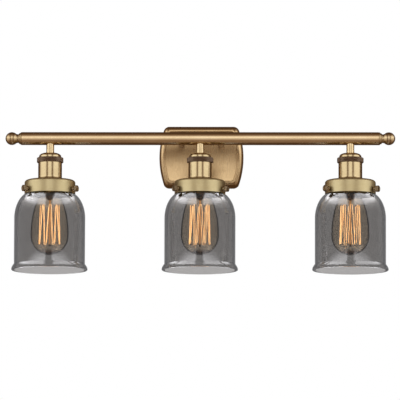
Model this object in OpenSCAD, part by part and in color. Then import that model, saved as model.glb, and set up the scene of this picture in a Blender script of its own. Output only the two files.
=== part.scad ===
// Three-lamp vanity light bar with bell glass shades.
// Millimetres. Origin in the middle of the backplate, on the wall. +X runs along the bar,
// +Y points into the wall and +Z is up.

/* [Bar] */
// Distance between neighbouring lamps
lamp_spacing = 254; // [170:1:320]
// Bar beyond each outer lamp, up to the finial
bar_overhang = 48; // [35:1:80]
// Outer diameter of the bar tube
bar_d = 22; // [20:0.5:28]
// Wall of the bar tube
bar_wall = 1.5; // [1:0.1:2.5]
// Distance from the wall to the bar's axis
bar_reach = 104; // [85:1:140]
// Height of the bar's axis above the middle of the backplate
bar_rise = 19.4; // [16:0.1:26]

/* [Finials] */
// Length of a finial outside the tube
finial_len = 28; // [24:0.5:40]
// Diameter of the ball
ball_d = 21.8; // [18:0.2:24]
// Diameter of the neck behind the ball
finial_neck_d = 14.5; // [11:0.5:16]

/* [Backplate] */
// Width at the middle
plate_w = 144; // [120:1:180]
// Height
plate_h = 106; // [106:1:130]
// Depth from the wall to the raised border
plate_depth = 22; // [21:0.5:30]
// Wall of the pressed plate
plate_wall = 1.2; // [0.8:0.1:2]
// How far each side swells out between its corners
side_bulge = 6.5; // [3:0.5:9]
// Radius of the corners
corner_r = 10; // [9:0.5:16]
// Width of the rounded border
border_w = 9.4; // [5:0.2:11]
// Depth of the face below the border
face_recess = 1.5; // [0.8:0.1:2.5]

/* [Wall strap] */
// Distance between the two slots for the junction box screws
box_screw_gap = 88.9; // [80:0.1:89]
// Width of each slot
slot_w = 4.6; // [4.2:0.1:5]
// Length of each slot, end to end
slot_len = 9; // [6:0.5:10]
// Distance between the two mounting studs
stud_gap = 69.8; // [60:0.1:72]

/* [Posts] */
// Distance between the two posts
post_gap = 66.4; // [50:0.2:80]
// Outer diameter of a post
post_d = 10.2; // [10:0.1:13]
// Bore of a post, for the wires
post_bore = 6; // [6:0.1:6.8]

/* [Stem] */
// Outer diameter of a stem
stem_d = 13.3; // [12.5:0.1:18]
// Length of a stem below the tube
stem_drop = 13.6; // [11:0.1:40]

/* [Socket] */
// Height of the domed cap above the knurled ring
cap_h = 8.1; // [7:0.1:12]
// Outer diameter of the knurled ring
ring_d = 45; // [44:0.5:56]
// Height of the knurled ring
ring_h = 8.7; // [7:0.1:12]
// Outer diameter of the socket shell
shell_d = 40.2; // [40:0.1:48]
// Wall of the socket shell
shell_wall = 1.2; // [0.8:0.1:1.6]
// Straight length of the shell below the ring
shell_show = 24.1; // [22:0.1:34]
// Outer diameter of the flared foot of the shell
foot_d = 47.2; // [46:0.2:58]

/* [Gallery] */
// Outer diameter of the shade holder
gallery_d = 86; // [76:0.5:104]
// Height of the shade holder
gallery_h = 23.2; // [22:0.1:28]
// Wall of the shade holder
gallery_wall = 1.2; // [0.8:0.1:1.5]
// Depth of the thumb screws below the top of the shade holder
screw_drop = 17; // [16.8:0.1:18]
// Diameter of a thumb screw's head
screw_head_d = 11; // [8:0.5:12]

/* [Shade] */
// Outer diameter of the glass bell
shade_d = 120; // [104:1:160]
// Height of the glass bell, lip to rim
shade_h = 149.4; // [130:1:190]
// Thickness of the glass
glass_wall = 3; // [2:0.1:4]
// Height of the round shoulder
shoulder_h = 45; // [30:1:55]
// How far the rim flares out
rim_flare = 4.4; // [2:0.1:8]

/* [Bulb] */
// Largest diameter of the bulb
bulb_d = 64.4; // [56:0.2:72]
// Length of the bulb, contact to tip
bulb_len = 145; // [138:1:150]

/* [Hidden] */
$fn = 64;
SIDES = [["left", -1], ["center", 0], ["right", 1]];
SCREWS = [["a", -146], ["b", -26], ["c", 94]];
LAMP_PIECES = [
    "stem", "socket_cap", "socket_ring", "socket_shell", "gallery", "shade",
    "thumb_screw_a", "thumb_screw_b", "thumb_screw_c",
    "bulb_contact", "bulb_cap", "bulb_glass", "bulb_filament"
];

// Clearances
thread_gap = 0.05;
free_gap = 0.35;
overcut = 1;

// Colours
BRASS = [0.66, 0.52, 0.32];
DARK_BRASS = [0.46, 0.38, 0.28];
STEEL = [0.7, 0.7, 0.68];
SMOKE = [0.35, 0.34, 0.33, 0.5];
CLEAR = [0.9, 0.85, 0.75, 0.35];

// Bar
tube_half = lamp_spacing + bar_overhang;
bar_r = bar_d / 2;
tube_in_r = bar_r - bar_wall;
spigot_len = 12;
bushing_in = 4;
bushing_d = 14;
stem_thread_d = 9.8;
stem_bore = 7;
post_thread_d = 8;

// Backplate, from the wall forwards
arc_half = plate_h / 2 - corner_r;
side_r = (pow(arc_half, 2) + pow(side_bulge, 2)) / (2 * side_bulge);
face_y = -(plate_depth - face_recess);
face_back_y = face_y + plate_wall;
// Each step is a share of the depth and a share of the border
border_steps = [[0, 0], [0.3, 0], [0.62, 0.2], [0.85, 0.55], [1, 1]];

// Wall strap and fasteners
strap_w = 16;
strap_t = 2;
strap_end = 1.5;
stud_d = 4;
stud_sunk = 0.3;
stud_nut_t = 3.2;
cap_nut_d = 11;
cap_nut_len = 9;
cap_nut_flange = 1.5;
ground_screw_z = -18;
washer_t = 1;
post_nut_t = 4;

// Lamp levels, measured down from the bar's axis
cap_top = -(bar_r + stem_drop);
cap_r = shell_d / 2 - shell_wall - 0.1;
dome_h = cap_h - 2;
dome_wall = 1;
ring_top = cap_top - cap_h;
ring_low = ring_top - ring_h;
ring_lip = 2.1;
// The ring keeps a wall around the shell, however wide the shell is
ring_r = max(ring_d, shell_d + 3.6) / 2;
cap_flange_t = 1.2;
shell_top = ring_top - ring_lip - cap_flange_t;
flare_top = ring_low - shell_show;
flare_h = 4.5;
foot_h = 1;
gallery_top = flare_top - flare_h - foot_h;
gallery_low = gallery_top - gallery_h;
socket_nut_t = 4;
socket_nut_d = stem_d - 0.1;

// Insulator and electrics of a lamp
insulator_top = ring_low - 0.6;
pocket_depth = 5;
web_t = 4;
web_top = insulator_top - pocket_depth;
web_low = web_top - web_t;
insulator_r = cap_r;
insulator_neck_r = 16.4;
insulator_low = gallery_top - 11;
pocket_r = 13;
terminal_x = 10;
contact_drop = 2.3;
lamp_thread_pitch = 3.629;
lamp_thread_turns = 5;
lamp_thread_depth = 0.7;
screw_shell_r = 13.35;
screw_shell_t = 0.4;
retaining_ring_d = 43;
retaining_ring_h = 4.5;

// Thumb screws
screw_z = gallery_top - screw_drop;
screw_shank_d = 4;
screw_shoulder_d = 8.6;
screw_shoulder_len = 4;
screw_head_len = 5.3;
lip_r = gallery_d / 2 - gallery_wall - 0.8;
lip_proud = 2.5;
neck_r = lip_r - lip_proud;
shoulder_face_r = gallery_d / 2 + 1.2;
screw_tip_r = neck_r + free_gap;

// Shade
lip_top = gallery_top - 4;
lip_low = screw_z + screw_shank_d / 2 + 0.4;
lip_round = 1.5;
shoulder_in = 8.5;
shoulder_c_r = neck_r - shoulder_in;
shoulder_a = shade_d / 2 - shoulder_c_r;
shoulder_angle = acos(shoulder_in / shoulder_a);
shoulder_at_gallery = gallery_d / 2 - gallery_wall - free_gap - shoulder_c_r;
shoulder_c_z = gallery_low - shoulder_h * sqrt(1 - pow(shoulder_at_gallery / shoulder_a, 2));
shoulder_in_angle = acos((shoulder_in - glass_wall) / (shoulder_a - glass_wall));
rim_low = lip_top - shade_h;
rim_h = 9.3;
rim_z = rim_low + glass_wall / 2;

// Bulb
bulb_top = web_low - contact_drop - free_gap;
button_h = 4.5;
button_r = 11.6;
eyelet_r = 4.8;
bulb_cap_top = bulb_top - button_h - free_gap;
bulb_cap_r = 13;
bulb_cap_t = 0.3;
bulb_thread_turns = 4.5;
bulb_skirt_low = bulb_top - 28.5;
bulb_neck_r = 13;
bulb_seat_r = 11.3;
bulb_tip = bulb_top - bulb_len;
bulb_belly_z = bulb_tip + 33.7;
bulb_wall = 0.8;
mount_top = bulb_skirt_low - 2;
mount_low = bulb_tip + 14.5;
funnel_r = 10.5;
funnel_h = 19;
hook_top_z = bulb_tip + 84;
hook_low_z = bulb_tip + 19.5;
hook_top_r = 16;
hook_low_r = 18.5;
hook_count = 8;
rod_r = 1.6;
strand_d = 0.8;

// Wires
wire_d = 1.8;
lane = wire_d + 0.1;
riser_x = 1.5;
wire_bend = 4;
wire_sides = 8;
wire_nut_r = 5.5;
wire_nut_len = 22;
wire_nut_grip = 14;
wire_nut_y = -(wire_nut_r + 0.6);
wire_nut_top = bar_rise - 13.4;

// Points along an elliptic arc about c, from angle a0 to a1
function arc(c, r, a0, a1, n = 8) =
    [for (i = [0:n]) let (a = a0 + (a1 - a0) * i / n) c + [r[0] * cos(a), r[1] * sin(a)]];

// Points along a cubic curve with the control points p
function curve(p, n = 10) =
    [for (i = [0:n]) let (t = i / n, u = 1 - t)
        pow(u, 3) * p[0] + 3 * u * u * t * p[1] + 3 * u * t * t * p[2] + pow(t, 3) * p[3]];

function mirrored(points) = [for (i = [len(points) - 1:-1:0]) [-points[i][0], points[i][1]]];

function reversed(points) = [for (i = [len(points) - 1:-1:0]) points[i]];

function unit(v) = v / norm(v);

// Wavy wall of a lamp thread, drawn as rings, with its crests at radius r
function thread_profile(r, z_top, turns, depth, step = 4) =
    [for (i = [0:turns * step])
        [r - depth * (1 - cos(360 * i / step)) / 2, z_top - lamp_thread_pitch * i / step]];

// A route with each of its corners rounded by bend
function rounded_route(p, bend, n = 3) = [
    p[0],
    for (i = [1:len(p) - 2])
        let (
            before = p[i - 1] - p[i],
            after = p[i + 1] - p[i],
            cut = min(bend, norm(before) * 0.45, norm(after) * 0.45),
            a = p[i] + unit(before) * cut,
            b = p[i] + unit(after) * cut
        )
        for (j = [0:n]) let (t = j / n) (1 - t) * (1 - t) * a + 2 * t * (1 - t) * p[i] + t * t * b,
    p[len(p) - 1]
];

function tangent(p, i) = unit(p[min(i + 1, len(p) - 1)] - p[max(i - 1, 0)]);

// One vector across the route at each of its points, turning no more than it must
function across(p, v, i = 0) =
    i == len(p) ? [] : let (t = tangent(p, i), w = unit(v - (v * t) * t)) concat([w], across(p, w, i + 1));

// Half outline of the backplate, right side, at an inset from its edge
function plate_side(inset) =
    let (
        r = side_r - inset,
        c = plate_w / 2 - side_r,
        round = max(corner_r - inset * 0.5, 3),
        top = plate_h / 2 - inset,
        corner_x = c + sqrt(pow(r - round, 2) - pow(top - round, 2)),
        turn = atan2(top - round, corner_x - c)
    )
    concat(
        arc([corner_x, round - top], [round, round], -90, -turn, 6),
        arc([c, 0], [r, r], -turn * 0.85, turn * 0.85, 12),
        arc([corner_x, top - round], [round, round], turn, 90, 6)
    );

function plate_outline(inset) = concat(plate_side(inset), mirrored(plate_side(inset)));

// Level of a wire in the bar: near lamp, centre lamp or far lamp from its own post
function wire_level(side, colour) = side * colour > 0 ? 0 : side == 0 ? -colour : colour;

function wire_lane(side, colour) = side * colour < 0 ? -lane : 0;

// Route of one wire, from its terminal, up the stem, along the bar and down a post to its wire nut.
// side is -1, 0 or 1 for the lamp; colour is -1 for black and 1 for white.
function wire_route(side, colour) =
    let (
        lamp_x = side * lamp_spacing,
        foot_x = lamp_x + (colour > 0 ? terminal_x : -riser_x),
        up_x = lamp_x + colour * riser_x,
        post_x = colour * post_gap / 2,
        y = -bar_reach + wire_lane(side, colour),
        z = bar_rise + wire_level(side, colour) * lane,
        low_y = wire_nut_y + wire_level(side, colour) * lane,
        pocket_z = bar_rise + web_top + 1.2,
        jog_z = bar_rise + insulator_top + 1.5,
        nut_z = wire_nut_top - wire_nut_grip + 4
    )
    concat(
        [[foot_x, y, pocket_z]],
        colour > 0 ? [[foot_x, y, jog_z], [up_x, y, jog_z + 6]] : [],
        [[up_x, y, z], [post_x, y, z], [post_x, low_y, z], [post_x, low_y, nut_z]]
    );

module tube(d_out, d_in, z_low, z_high) {
    difference() {
        translate([0, 0, z_low]) cylinder(d = d_out, h = z_high - z_low);
        translate([0, 0, z_low - overcut]) cylinder(d = d_in, h = z_high - z_low + 2 * overcut);
    }
}

// Turns a shape drawn up the Z axis so that it runs forwards from y
module forwards(y = 0) {
    translate([0, y, 0]) rotate([90, 0, 0]) children();
}

module at_lamp(side) {
    translate([side * lamp_spacing, -bar_reach, bar_rise]) children();
}

module at_posts() {
    for (s = [-1, 1]) translate([s * post_gap / 2, 0, bar_rise]) children();
}

module at_studs() {
    for (s = [-1, 1]) translate([0, 0, s * stud_gap / 2]) children();
}

// Closed solid through a list of rings, each with the same number of points
module lofted(rings) {
    n = len(rings[0]);
    last = len(rings) - 1;
    faces = concat(
        [[for (k = [0:n - 1]) k]],
        [for (i = [0:last - 1]) for (k = [0:n - 1]) let (m = (k + 1) % n)
            [i * n + k, (i + 1) * n + k, (i + 1) * n + m]],
        [for (i = [0:last - 1]) for (k = [0:n - 1]) let (m = (k + 1) % n)
            [i * n + k, (i + 1) * n + m, i * n + m]],
        [[for (k = [n - 1:-1:0]) last * n + k]]
    );
    polyhedron([for (ring = rings) for (point = ring) point], faces);
}

// Round tube swept along a route
module wire(route, d, bend, sides) {
    p = rounded_route(route, bend);
    w = across(p, unit([0.31, 0.53, 0.79]));
    lofted([
        for (i = [0:len(p) - 1]) [
            for (k = [0:sides - 1])
                let (t = tangent(p, i), a = 360 * k / sides)
                p[i] + d / 2 * (cos(a) * w[i] + sin(a) * cross(t, w[i]))
        ]
    ]);
}

// Flat strap that screws to the junction box
module crossbar() {
    strap_h = box_screw_gap + slot_len + 2 * strap_end;
    color(STEEL)
        difference() {
            translate([-strap_w / 2, -strap_t, -strap_h / 2]) cube([strap_w, strap_t, strap_h]);
            at_studs() forwards(overcut) cylinder(d = stud_d + 2 * thread_gap, h = strap_t + 2 * overcut);
            translate([0, 0, ground_screw_z])
                forwards(overcut) cylinder(d = stud_d + 2 * thread_gap, h = strap_t + 2 * overcut);
            for (s = [-1, 1]) translate([0, 0, s * box_screw_gap / 2]) box_slot();
        }
}

module box_slot() {
    straight = slot_len - slot_w;
    depth = strap_t + 2 * overcut;
    translate([-slot_w / 2, -strap_t - overcut, -straight / 2]) cube([slot_w, depth, straight]);
    for (s = [-1, 1]) translate([0, 0, s * straight / 2]) forwards(overcut) cylinder(d = slot_w, h = depth);
}

module ground_screw() {
    color("green")
        translate([0, 0, ground_screw_z]) {
            forwards(-stud_sunk) cylinder(d = stud_d, h = strap_t - stud_sunk);
            forwards(-strap_t) cylinder(d = 8, h = 3, $fn = 6);
        }
}

module mounting_studs() {
    reach = -face_y + cap_nut_len - 3;
    color(STEEL) at_studs() forwards(-stud_sunk) cylinder(d = stud_d, h = reach - stud_sunk);
}

module stud_nuts() {
    color(STEEL)
        at_studs()
            difference() {
                forwards(-strap_t) cylinder(d = 8.1, h = stud_nut_t, $fn = 6);
                forwards() cylinder(d = stud_d + 2 * thread_gap, h = strap_t + stud_nut_t + overcut);
            }
}

// Domed nuts that hold the backplate on its studs
module cap_nuts() {
    r = cap_nut_d / 2;
    bore_r = stud_d / 2 + thread_gap;
    bore_end = cap_nut_len - 2;
    dome_low = 3.5;
    color(BRASS)
        at_studs()
            forwards(face_y)
                rotate_extrude()
                    polygon(concat(
                        [[bore_r, 0], [r, 0], [r, cap_nut_flange]],
                        [[r - 1, cap_nut_flange], [r - 1, dome_low]],
                        arc([0, dome_low], [r - 1, cap_nut_len - dome_low], 0, 90),
                        [[0, bore_end], [bore_r, bore_end]]
                    ));
}

// Filled shape of the pressed plate; each step is a depth and the inset of its outline there
module plate_body(steps) {
    lofted([for (step = steps) [for (p = plate_outline(step[1])) [p[0], -step[0], p[1]]]]);
}

module backplate() {
    color(BRASS)
        difference() {
            plate_body([for (step = border_steps) [step[0] * plate_depth, step[1] * border_w]]);
            plate_body(concat(
                [[-overcut, plate_wall]],
                [for (step = border_steps) [-step[0] * face_back_y, plate_wall + step[1] * border_w]]
            ));
            forwards(face_y) linear_extrude(plate_depth) polygon(plate_outline(border_w + 1.4));
            at_studs() forwards() cylinder(d = stud_d + 1, h = 2 * plate_depth);
            at_posts() forwards() cylinder(d = post_thread_d + 2 * thread_gap, h = 2 * plate_depth);
        }
}

// Hollow posts, saddle-cut to the bar, with a threaded end each way
module posts() {
    back_y = face_back_y + washer_t + post_nut_t + 1;
    front_y = -bar_reach + bushing_in;
    color(BRASS)
        at_posts()
            difference() {
                union() {
                    difference() {
                        forwards(face_y) cylinder(d = post_d, h = bar_reach + face_y);
                        translate([0, -bar_reach, 0])
                            rotate([0, 90, 0]) cylinder(d = bar_d, h = 2 * post_d, center = true);
                    }
                    forwards(back_y) cylinder(d = post_thread_d, h = back_y - front_y);
                }
                forwards(back_y + overcut) cylinder(d = post_bore, h = back_y - front_y + 2 * overcut);
            }
}

module post_washers() {
    color(STEEL)
        at_posts()
            forwards(face_back_y + washer_t)
                tube(14, post_thread_d + 2 * thread_gap, 0, washer_t);
}

module post_nuts() {
    color(STEEL)
        at_posts()
            forwards(face_back_y + washer_t + post_nut_t)
                difference() {
                    cylinder(d = 13.9, h = post_nut_t, $fn = 6);
                    translate([0, 0, -overcut])
                        cylinder(d = post_thread_d + 2 * thread_gap, h = post_nut_t + 2 * overcut);
                }
}

module bar_tube() {
    color(BRASS)
        difference() {
            translate([0, -bar_reach, bar_rise])
                rotate([0, 90, 0])
                    tube(bar_d, 2 * tube_in_r, -tube_half, tube_half);
            for (s = SIDES)
                at_lamp(s[1])
                    translate([0, 0, -bar_d])
                        cylinder(d = stem_thread_d + 2 * thread_gap, h = bar_d);
            at_posts()
                forwards(-bar_reach + bar_d) cylinder(d = post_thread_d + 2 * thread_gap, h = bar_d);
        }
}

// Threaded block brazed inside the tube; its seat is at -Z
module bushing(bore) {
    difference() {
        intersection() {
            rotate([0, 90, 0]) cylinder(r = tube_in_r, h = 2 * bushing_d, center = true);
            translate([0, 0, -bar_d]) cylinder(d = bushing_d, h = bar_d - bushing_in);
        }
        translate([0, 0, -bar_d - overcut]) cylinder(d = bore, h = bar_d + 2 * overcut);
    }
}

module bar_bushings() {
    color(STEEL) {
        for (s = SIDES) at_lamp(s[1]) bushing(stem_thread_d + 2 * thread_gap);
        at_posts()
            translate([0, -bar_reach, 0])
                rotate([90, 0, 0]) bushing(post_thread_d + 2 * thread_gap);
    }
}

// Turned finial; drawn up the Z axis with the tube's end at zero
module finial() {
    neck = finial_neck_d / 2;
    ball = ball_d / 2;
    ball_z = finial_len - ball;
    join = asin(neck / ball);
    bead = (bar_r + neck) / 2;
    rotate_extrude()
        polygon(concat(
            [
                [0, -spigot_len], [tube_in_r - thread_gap, -spigot_len], [tube_in_r - thread_gap, 0],
                [bar_r - 0.5, 0], [bar_r - 0.5, 0.5], [bar_r, 0.8], [bar_r, 1.4],
                [bead - 0.2, 3.2], [bead + 0.2, 3.5], [bead + 0.2, 4.2], [bead - 0.4, 4.7], [neck, 6.6]
            ],
            arc([0, ball_z], [ball, ball], join - 90, 90, 16)
        ));
}

module finial_at(side) {
    color(BRASS)
        translate([side * tube_half, -bar_reach, bar_rise])
            rotate([0, side * 90, 0]) finial();
}

module wires(colour) {
    color(colour < 0 ? "black" : "white")
        for (s = SIDES) wire(wire_route(s[1], colour), wire_d, wire_bend, wire_sides);
}

module wire_nuts() {
    color("orange")
        for (s = [-1, 1])
            translate([s * post_gap / 2, wire_nut_y, wire_nut_top - wire_nut_len])
                difference() {
                    cylinder(r1 = wire_nut_r * 0.7, r2 = wire_nut_r, h = wire_nut_len);
                    translate([0, 0, wire_nut_len - wire_nut_grip])
                        cylinder(r = wire_nut_r * 0.76, h = wire_nut_grip + overcut);
                }
}

// Turned stem, saddle-cut to the bar, threaded at both ends and bored for the wires
module stem() {
    thread_low = cap_top - dome_wall - socket_nut_t - 1;
    groove_z = cap_top + 6.2;
    color(BRASS)
        difference() {
            union() {
                difference() {
                    translate([0, 0, cap_top]) cylinder(d = stem_d, h = -cap_top);
                    rotate([0, 90, 0]) cylinder(d = bar_d, h = 2 * stem_d, center = true);
                    tube(stem_d + 2, stem_d - 0.8, groove_z - 0.4, groove_z + 0.4);
                }
                translate([0, 0, thread_low]) cylinder(d = stem_thread_d, h = -thread_low - bushing_in);
            }
            translate([0, 0, thread_low - overcut]) cylinder(d = stem_bore, h = -thread_low + overcut);
        }
}

module socket_nuts() {
    nut_low = cap_top - dome_wall - socket_nut_t;
    color(STEEL)
        for (s = SIDES)
            at_lamp(s[1])
                difference() {
                    translate([0, 0, nut_low]) cylinder(d = socket_nut_d, h = socket_nut_t, $fn = 6);
                    translate([0, 0, nut_low - overcut])
                        cylinder(d = stem_thread_d + 2 * thread_gap, h = socket_nut_t + 2 * overcut);
                }
}

// Domed cap, with a flange that the knurled ring holds down on the shell
module socket_cap() {
    hole_r = stem_thread_d / 2 + thread_gap;
    start_r = stem_d / 2;
    dome_z = cap_top - dome_h;
    flange_z = ring_top - ring_lip;
    in_r = cap_r - dome_wall;
    color(BRASS)
        rotate_extrude()
            polygon(concat(
                [[hole_r, cap_top]],
                arc([start_r, dome_z], [cap_r - start_r, dome_h], 90, 0, 9),
                [[cap_r, flange_z], [shell_d / 2, flange_z], [shell_d / 2, shell_top], [in_r, shell_top]],
                arc([start_r, dome_z], [in_r - start_r, dome_h - dome_wall], 0, 90, 9),
                [[hole_r, cap_top - dome_wall]]
            ));
}

module socket_ring() {
    r = ring_r;
    edge = 0.8;
    lip_r_in = cap_r + thread_gap;
    thread_r = shell_d / 2 + thread_gap;
    color(DARK_BRASS)
        rotate_extrude()
            polygon([
                [lip_r_in, ring_top], [r - edge, ring_top], [r, ring_top - edge], [r, ring_low + edge],
                [r - edge, ring_low], [thread_r, ring_low], [thread_r, ring_top - ring_lip],
                [lip_r_in, ring_top - ring_lip]
            ]);
}

module socket_shell() {
    r = shell_d / 2;
    foot_r = foot_d / 2;
    color(BRASS)
        rotate_extrude()
            polygon(concat(
                [[r - shell_wall, gallery_top], [r - shell_wall, shell_top], [r, shell_top]],
                arc([foot_r, flare_top], [foot_r - r, flare_h], 180, 270, 6),
                [[foot_r, gallery_top]]
            ));
}

// Moulded body that holds the electrics of the socket
module insulators() {
    bore_r = screw_shell_r + lamp_thread_depth + screw_shell_t + thread_gap;
    color([0.12, 0.11, 0.1])
        for (s = SIDES)
            at_lamp(s[1])
                difference() {
                    rotate_extrude()
                        polygon([
                            [0, web_low], [bore_r, web_low], [bore_r, insulator_low],
                            [insulator_neck_r, insulator_low], [insulator_neck_r, gallery_top],
                            [insulator_r, gallery_top], [insulator_r, insulator_top],
                            [pocket_r, insulator_top], [pocket_r, web_top], [0, web_top]
                        ]);
                    for (x = [0, terminal_x])
                        translate([x, 0, web_low - overcut]) cylinder(d = 3, h = web_t + 2 * overcut);
                }
}

// Rivet with a head in the insulator's pocket; drawn from the underside of the web
module terminal_rivet() {
    translate([0, 0, web_low]) cylinder(d = 3 - 2 * thread_gap, h = web_t);
    translate([0, 0, web_top]) cylinder(d = 5, h = 0.8);
}

module center_contacts() {
    leaf_t = 0.6;
    color(BRASS)
        for (s = SIDES)
            at_lamp(s[1]) {
                terminal_rivet();
                translate([0, 0, web_low - leaf_t]) cylinder(d = 8, h = leaf_t);
                translate([0, 0, web_low - contact_drop])
                    cylinder(d1 = 5, d2 = 7, h = contact_drop - leaf_t);
            }
}

module screw_shells() {
    collar_t = 0.5;
    wave_top = web_low - 2;
    wave = thread_profile(screw_shell_r + lamp_thread_depth, wave_top, lamp_thread_turns, lamp_thread_depth);
    outer = [for (p = wave) [p[0] + screw_shell_t, p[1]]];
    top_r = screw_shell_r + lamp_thread_depth;
    color(BRASS)
        for (s = SIDES)
            at_lamp(s[1]) {
                rotate_extrude()
                    polygon(concat(
                        [[6.5, web_low], [top_r + screw_shell_t, web_low]],
                        outer,
                        reversed(wave),
                        [[top_r, web_low - collar_t], [6.5, web_low - collar_t]]
                    ));
                translate([terminal_x, 0, 0]) terminal_rivet();
            }
}

module retaining_rings() {
    color([0.15, 0.14, 0.13])
        for (s = SIDES)
            at_lamp(s[1])
                tube(
                    retaining_ring_d, 2 * (insulator_neck_r + thread_gap),
                    gallery_top - gallery_wall - retaining_ring_h, gallery_top - gallery_wall
                );
}

// Shade holder, a deep cup open below, with a tapped hole for each thumb screw
module gallery() {
    r = gallery_d / 2;
    round_r = 6;
    round_h = 5;
    hole_r = insulator_neck_r + 0.1;
    w = gallery_wall;
    color(BRASS)
        difference() {
            rotate_extrude()
                polygon(concat(
                    [[hole_r, gallery_top]],
                    arc([r - round_r, gallery_top - round_h], [round_r, round_h], 90, 0),
                    [[r, gallery_low], [r - w, gallery_low]],
                    arc([r - round_r, gallery_top - round_h], [round_r - w, round_h - w], 0, 90),
                    [[hole_r, gallery_top - w]]
                ));
            for (k = SCREWS)
                rotate([0, 0, k[1]])
                    translate([neck_r, 0, screw_z])
                        rotate([0, 90, 0]) cylinder(d = screw_shank_d + 2 * thread_gap, h = r);
        }
}

// Knurled thumb screw, drawn along +X from its tip
module thumb_screw() {
    shank = screw_shank_d / 2;
    shoulder = screw_shoulder_d / 2;
    head = screw_head_d / 2;
    face = shoulder_face_r - screw_tip_r;
    neck_end = face + screw_shoulder_len;
    head_end = neck_end + screw_head_len;
    edge = 1;
    color(DARK_BRASS)
        translate([screw_tip_r, 0, screw_z])
            rotate([0, 90, 0])
                rotate_extrude()
                    polygon(concat(
                        [
                            [0, 0], [shank, 0], [shank, face], [shoulder, face],
                            [shoulder, neck_end - 0.6], [shoulder - 0.6, neck_end - 0.3],
                            [shoulder - 0.6, neck_end], [head, neck_end]
                        ],
                        arc([head - edge, head_end - edge], [edge, edge], 0, 90, 4),
                        [[0, head_end]]
                    ));
}

// Blown bell with a beaded lip above and a rolled, flared rim below
module shade() {
    r = shade_d / 2;
    w = glass_wall;
    c = [shoulder_c_r, shoulder_c_z];
    rim_top = rim_z + rim_h;
    steps = 8;
    flare = [for (i = [0:steps]) let (t = i / steps) [rim_flare * sin(90 * t), rim_top - rim_h * t]];
    color(SMOKE)
        rotate_extrude()
            polygon(concat(
                [[neck_r - w, lip_top]],
                arc([lip_r - lip_round, lip_top - lip_round], [lip_round, lip_round], 90, 0, 4),
                arc([lip_r - lip_round, lip_low + lip_round], [lip_round, lip_round], 0, -90, 4),
                [[neck_r, lip_low]],
                arc(c, [shoulder_a, shoulder_h], shoulder_angle, 0, 14),
                [for (p = flare) p + [r, 0]],
                arc([r + rim_flare - w / 2, rim_z], [w / 2, w / 2], -30, -150, 4),
                reversed([for (p = flare) p + [r - w, 0]]),
                arc(c, [shoulder_a - w, shoulder_h - w], 0, shoulder_in_angle, 14)
            ));
}

// Solder contact and the black glass button around it
module bulb_contact() {
    color(STEEL)
        rotate_extrude()
            polygon(concat(
                [[0, bulb_top - button_h], [button_r, bulb_top - button_h], [eyelet_r + 1, bulb_top - 1.8]],
                arc([0, bulb_top - 1.5], [eyelet_r, 1.5], 0, 90, 6)
            ));
}

module bulb_cap() {
    wave = thread_profile(bulb_cap_r, bulb_cap_top, bulb_thread_turns, lamp_thread_depth);
    inner = [for (p = wave) [p[0] - bulb_cap_t, p[1]]];
    color(STEEL)
        rotate_extrude()
            polygon(concat(
                wave,
                [
                    [bulb_neck_r + 0.3, bulb_skirt_low + 2], [bulb_neck_r + 0.5, bulb_skirt_low],
                    [bulb_neck_r + 0.2, bulb_skirt_low], [bulb_neck_r - 0.2, bulb_skirt_low + 2.3]
                ],
                reversed(inner)
            ));
}

// Pear-shaped envelope
module bulb_glass() {
    belly = bulb_d / 2;
    w = bulb_wall;
    c = [0, bulb_belly_z];
    base_h = bulb_belly_z - bulb_tip;
    start_z = bulb_skirt_low - 0.3;
    seat_z = bulb_skirt_low + 12;
    outer = curve([
        [bulb_neck_r, start_z], [bulb_neck_r, start_z - 14],
        [belly, bulb_belly_z + 55], [belly, bulb_belly_z]
    ]);
    inner = [for (p = outer) p - [w, 0]];
    color(CLEAR)
        rotate_extrude()
            polygon(concat(
                [[bulb_seat_r - w, seat_z], [bulb_seat_r, seat_z], [bulb_seat_r, start_z + 2.4]],
                outer,
                arc(c, [belly, base_h], 0, -90, 10),
                arc(c, [belly - w, base_h - w], -90, 0, 10),
                reversed(inner),
                [[bulb_seat_r - w, start_z + 2.4]]
            ));
}

// Glass stem with its hooks, and the filament strung between the hooks
module bulb_filament() {
    turn = 360 / hook_count;
    route = [
        for (k = [0:hook_count - 1]) for (low = [0, 1])
            let (a = turn * (k + low / 2), r = low == 1 ? hook_low_r : hook_top_r)
            [r * cos(a), r * sin(a), low == 1 ? hook_low_z : hook_top_z]
    ];
    color([0.95, 0.6, 0.2]) {
        union() {
            rotate_extrude()
                polygon([
                    [0, mount_top], [funnel_r, mount_top], [5, mount_top - funnel_h],
                    [rod_r, mount_top - funnel_h - 3], [rod_r, mount_low], [0, mount_low]
                ]);
            for (k = [0:hook_count - 1]) {
                rotate([0, 0, turn * k]) hook(hook_top_z, hook_top_r);
                rotate([0, 0, turn * (k + 0.5)]) hook(hook_low_z, hook_low_r);
            }
        }
        wire(route, strand_d, 2, 6);
    }
}

// Straight support wire, which stops just short of the filament
module hook(z, r) {
    start = rod_r / 2;
    translate([start, 0, z]) rotate([0, 90, 0]) cylinder(d = 0.6, h = r - start - strand_d, $fn = 16);
}

crossbar();
ground_screw();
mounting_studs();
stud_nuts();
cap_nuts();
backplate();
posts();
post_washers();
post_nuts();
bar_tube();
bar_bushings();
finial_at(-1);  // finial_left
finial_at(1);  // finial_right
wires(-1);  // wires_black
wires(1);  // wires_white
wire_nuts();
socket_nuts();
insulators();
center_contacts();
screw_shells();
retaining_rings();
for (s = SIDES) {
    at_lamp(s[1]) stem();
    at_lamp(s[1]) socket_cap();
    at_lamp(s[1]) socket_ring();
    at_lamp(s[1]) socket_shell();
    at_lamp(s[1]) gallery();
    at_lamp(s[1]) shade();
    for (k = SCREWS)
        at_lamp(s[1]) rotate([0, 0, k[1]]) thumb_screw();
    at_lamp(s[1]) bulb_contact();
    at_lamp(s[1]) bulb_cap();
    at_lamp(s[1]) bulb_glass();
    at_lamp(s[1]) bulb_filament();
}
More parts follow.
